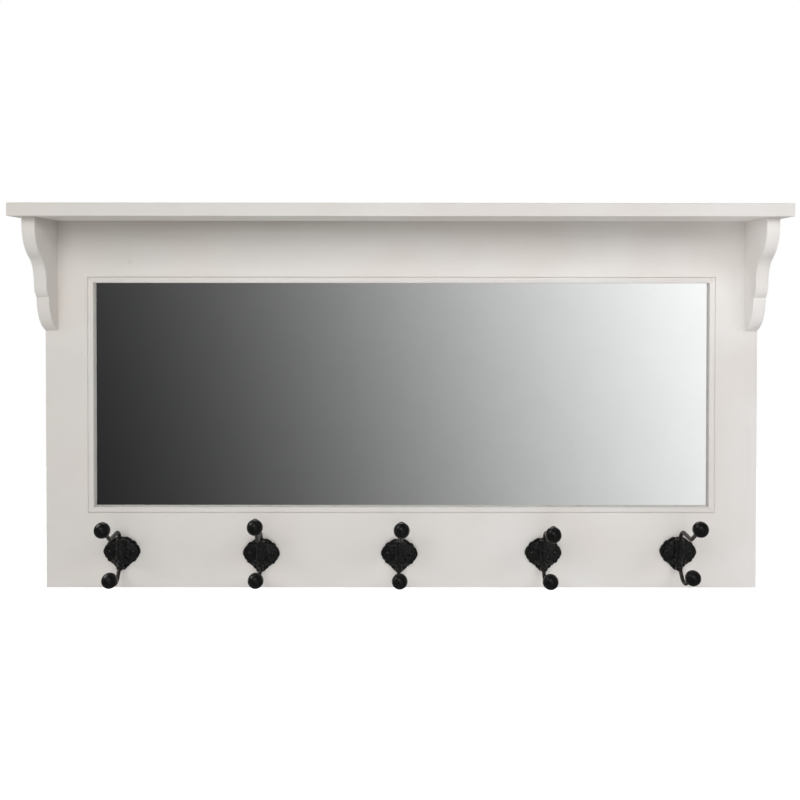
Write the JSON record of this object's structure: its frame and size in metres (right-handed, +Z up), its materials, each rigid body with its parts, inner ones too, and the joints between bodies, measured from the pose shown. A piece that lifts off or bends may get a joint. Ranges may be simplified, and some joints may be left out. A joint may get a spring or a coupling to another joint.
{
  "type": "wall mirror with hooks",
  "caption": "Wide wall mirror in a white-washed wooden panel, with a top shelf on ogee corbels and a row of black ball-ended coat hooks below the glass.",
  "frame": {"origin": "on the wall plane, midway between the round entries of the two keyhole hangers in the back of the top rail", "axes": "+X to the right as seen from the room, +Y into the wall (the room is on the -Y side), +Z up"},
  "size_m": [0.946, 0.1167, 0.491],
  "materials": {
    "whitewashed_wood": "white-washed, satin, faint grain",
    "mirror": "silvered float glass",
    "hardboard": "smooth pressed board",
    "zinc_steel": "zinc plated",
    "dowel_wood": "raw beech",
    "black_cast_iron": "black, semi-gloss over a cast surface",
    "dark_steel_rod": "blackened, worn to grey",
    "black_enamel": "semi-gloss black",
    "black_screw": "black"
  },
  "bodies": {
    "root": {"shelf_board": "whitewashed_wood", "left_corbel": "whitewashed_wood", "right_corbel": "whitewashed_wood", "left_stile": "whitewashed_wood", "right_stile": "whitewashed_wood", "top_rail": "whitewashed_wood", "bottom_rail": "whitewashed_wood", "left_bead": "whitewashed_wood", "right_bead": "whitewashed_wood", "top_bead": "whitewashed_wood", "bottom_bead": "whitewashed_wood", "mirror_glass": "mirror", "mirror_backing": "hardboard", "glazing_points": "zinc_steel", "bead_pins": "zinc_steel", "frame_dowels": "dowel_wood", "shelf_dowels": "dowel_wood", "corbel_screws": "zinc_steel", "left_hanger": "zinc_steel", "right_hanger": "zinc_steel", "hanger_screws": "zinc_steel", "hook_plate_1": "black_cast_iron", "hook_plate_2": "black_cast_iron", "hook_plate_3": "black_cast_iron", "hook_plate_4": "black_cast_iron", "hook_plate_5": "black_cast_iron", "hook_rod_1": "dark_steel_rod", "hook_rod_2": "dark_steel_rod", "hook_rod_3": "dark_steel_rod", "hook_rod_4": "dark_steel_rod", "hook_rod_5": "dark_steel_rod", "upper_ball_1": "black_enamel", "upper_ball_2": "black_enamel", "upper_ball_3": "black_enamel", "upper_ball_4": "black_enamel", "upper_ball_5": "black_enamel", "lower_ball_1": "black_enamel", "lower_ball_2": "black_enamel", "lower_ball_3": "black_enamel", "lower_ball_4": "black_enamel", "lower_ball_5": "black_enamel", "hook_screws_1": "black_screw", "hook_screws_2": "black_screw", "hook_screws_3": "black_screw", "hook_screws_4": "black_screw", "hook_screws_5": "black_screw"}
  },
  "joints": []
}
